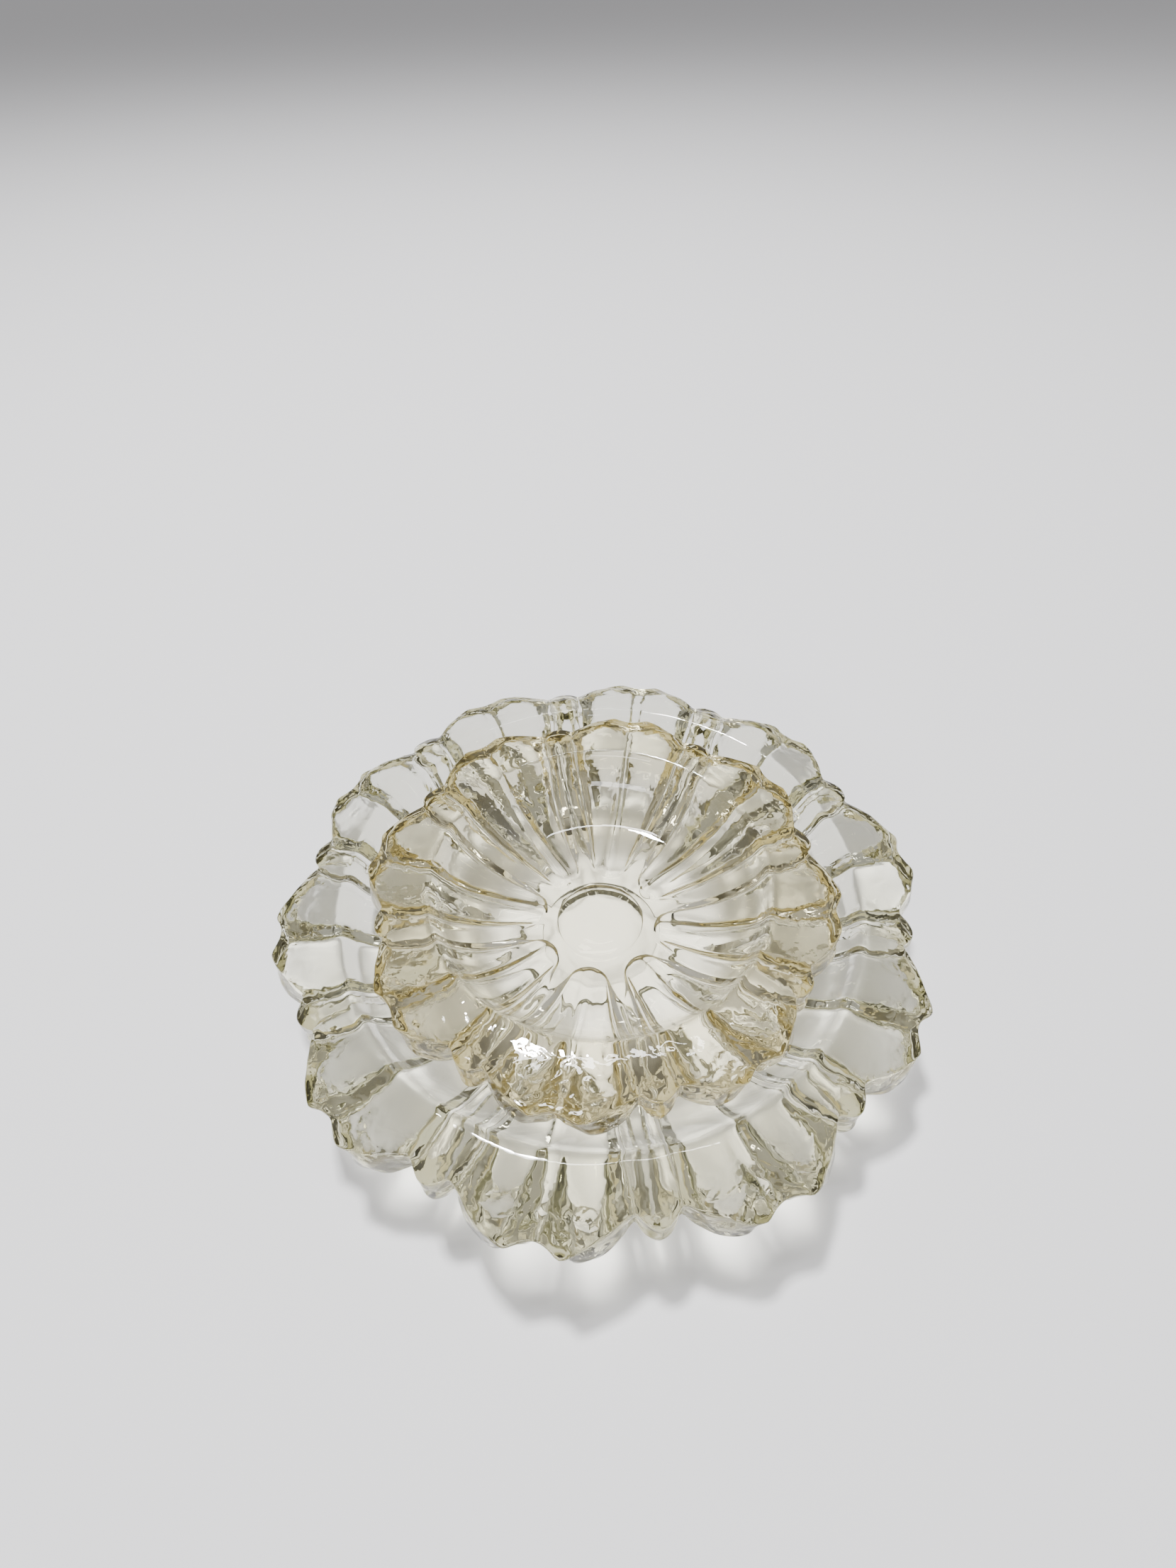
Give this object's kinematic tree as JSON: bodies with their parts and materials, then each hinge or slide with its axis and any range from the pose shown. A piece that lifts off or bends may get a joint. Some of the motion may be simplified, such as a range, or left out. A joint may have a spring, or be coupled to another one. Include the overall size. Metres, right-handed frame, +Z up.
{
  "type": "nested pair of pressed-glass petal dishes",
  "caption": "Nested pair of heavy clear pressed-glass petal dishes: a small straw-tinted dish standing loose in the round well of a larger green-tinted one.",
  "frame": {"origin": "centre of the large dish's foot, on the surface the pair stands on", "axes": "+Z up along the axis of both dishes; a notch of each dish faces -Y"},
  "size_m": [0.1452, 0.1498, 0.0301],
  "materials": {
    "glass_green_tint": "fire-polished clear pressed glass with a faint grey-green tint",
    "glass_straw_tint": "fire-polished clear pressed glass with a faint straw tint"
  },
  "bodies": {
    "large_dish": {"large_dish": "glass_green_tint"},
    "small_dish": {"small_dish": "glass_straw_tint"}
  },
  "joints": [
    {"name": "small_dish_lift", "type": "slide", "parent": "large_dish", "child": "small_dish", "axis": [0, 0, 1], "range_m": [0, 0.06]}
  ]
}
